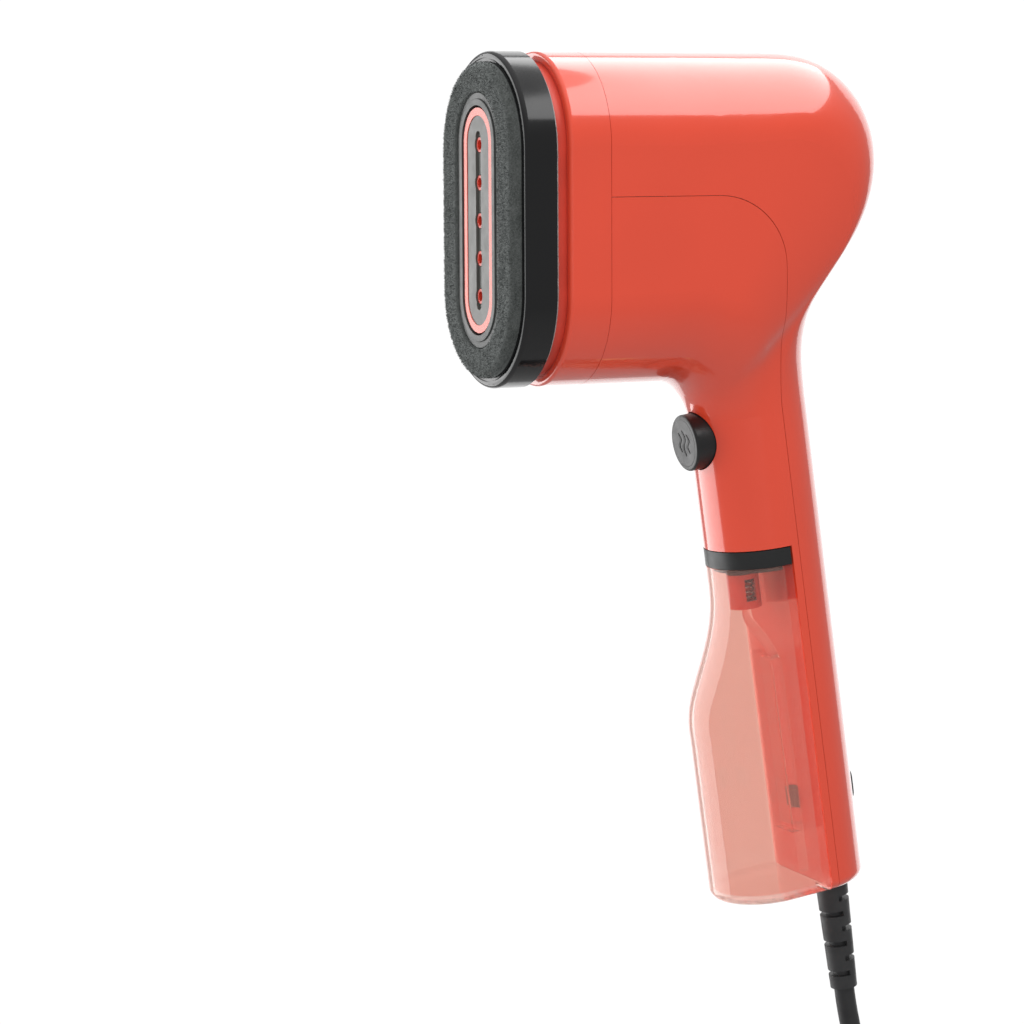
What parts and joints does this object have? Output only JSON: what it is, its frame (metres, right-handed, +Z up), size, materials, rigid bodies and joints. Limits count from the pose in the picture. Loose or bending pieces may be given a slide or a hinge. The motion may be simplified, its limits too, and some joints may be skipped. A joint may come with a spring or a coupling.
{
  "type": "garment steamer",
  "caption": "Hand-held garment steamer with an upright oblong steam head, a slip-on velvet pad, a clear tinted water tank in the front of the handle and a mains lead.",
  "frame": {"origin": "middle of the hand grip, on the plane of symmetry", "axes": "+Z up along the upright head, the steam face looks along -Y, X across; the grip's foot leans 8 degrees to +Y"},
  "size_m": [0.0596, 0.1737, 0.4245],
  "materials": {
    "coral_plastic": "polished coral moulding",
    "grey_plate": "satin warm grey",
    "black_gloss": "gloss black",
    "velvet": "short dark velvet pile",
    "lint_fabric": "fine light pile",
    "coral_clear": "clear coral tint",
    "dark_plastic": "satin",
    "silicone": "milky silicone",
    "aluminium": "as cast",
    "steel": "bright",
    "brass": "turned",
    "copper_coil": "enamelled winding",
    "white_ceramic": "glazed",
    "board_green": "solder mask",
    "cord_rubber": "satin"
  },
  "bodies": {
    "housing": {"board_parts": "dark_plastic", "boiler_block": "aluminium", "boiler_lid": "aluminium", "boiler_screws": "steel", "button_guide": "dark_plastic", "button_spring": "steel", "check_valve": "brass", "circuit_board": "board_green", "cord_coil": "cord_rubber", "cord_tie": "cord_rubber", "delivery_hose": "silicone", "foot_screws": "steel", "front_collar": "coral_plastic", "heater_element": "steel", "inner_lead": "cord_rubber", "lower_front_shell": "coral_plastic", "microswitch": "dark_plastic", "neck_keepers": "steel", "nose_neck": "coral_plastic", "nose_ring": "coral_plastic", "outlet_strip": "coral_plastic", "plug_body": "cord_rubber", "plug_pins": "brass", "power_cord": "cord_rubber", "pump_body": "dark_plastic", "pump_coil": "copper_coil", "pump_cradle": "dark_plastic", "release_spring": "steel", "steam_gasket": "silicone", "steam_manifold": "steel", "steam_plate": "grey_plate", "strain_relief": "cord_rubber", "suction_hose": "silicone", "tank_socket": "dark_plastic", "thermal_fuse": "white_ceramic", "thermostat": "steel", "upper_back_shell": "coral_plastic"},
    "pad": {"pad_frame": "black_gloss", "velvet_pad": "velvet", "lint_pad": "lint_fabric", "pad_ring": "grey_plate", "pad_magnets": "steel"},
    "tank": {"tank_body": "coral_clear", "tank_cap": "black_gloss", "valve_cage": "coral_plastic", "valve_spring": "steel", "dip_tube": "silicone"},
    "steam_button": {"steam_button": "black_gloss"},
    "tank_valve": {"valve_plunger": "dark_plastic"},
    "tank_release": {"release_button": "black_gloss"}
  },
  "joints": [
    {"name": "pad_pull_off", "type": "slide", "parent": "housing", "child": "pad", "axis": [0, -1, 0], "range_m": [0, 0.03]},
    {"name": "steam_button_press", "type": "slide", "parent": "housing", "child": "steam_button", "axis": [0, 0.9903, 0.1392], "range_m": [0, 0.0025], "stiffness_N_per_m": 400, "springref_m": -0.001, "deforming": ["button_spring"]},
    {"name": "tank_slide_out", "type": "slide", "parent": "housing", "child": "tank", "axis": [0, 0.1392, -0.9903], "range_m": [0, 0.04]},
    {"name": "tank_valve_lift", "type": "slide", "parent": "tank", "child": "tank_valve", "axis": [0, 0.1392, -0.9903], "range_m": [-0.0008, 0.001], "stiffness_N_per_m": 200, "deforming": ["valve_spring"]},
    {"name": "tank_release_press", "type": "slide", "parent": "housing", "child": "tank_release", "axis": [0, -0.9903, -0.1392], "range_m": [0, 0.0016], "stiffness_N_per_m": 400, "springref_m": -0.001, "deforming": ["release_spring"]}
  ]
}
